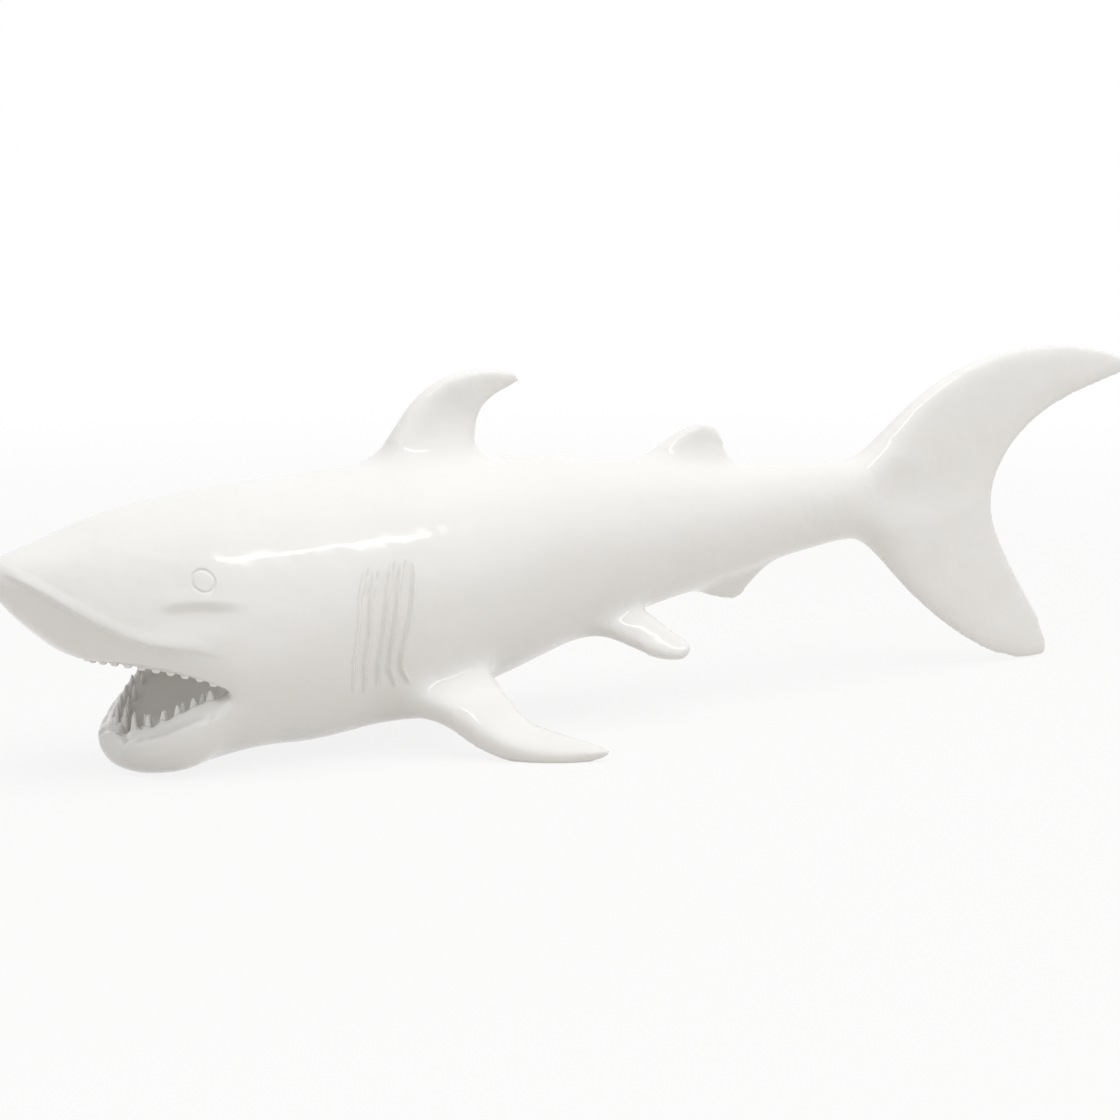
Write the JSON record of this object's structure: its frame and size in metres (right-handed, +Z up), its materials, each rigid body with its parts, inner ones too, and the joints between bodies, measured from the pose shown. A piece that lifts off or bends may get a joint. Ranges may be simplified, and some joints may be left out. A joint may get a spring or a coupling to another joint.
{
  "type": "shark figurine",
  "caption": "Gloss white shark figurine with open toothed jaws, standing on its chin, pectoral fins and tail.",
  "frame": {"origin": "bottom centre of the bounding box, on the surface the figurine stands on", "axes": "+X runs from the nose back to the tail, +Z up; the shark's left side faces -Y"},
  "size_m": [0.5996, 0.1832, 0.1559],
  "materials": {
    "white_gloss_resin": "high-gloss white lacquer over cast resin, slightly rippled"
  },
  "bodies": {
    "root": {"shark_figurine": "white_gloss_resin"}
  },
  "joints": []
}
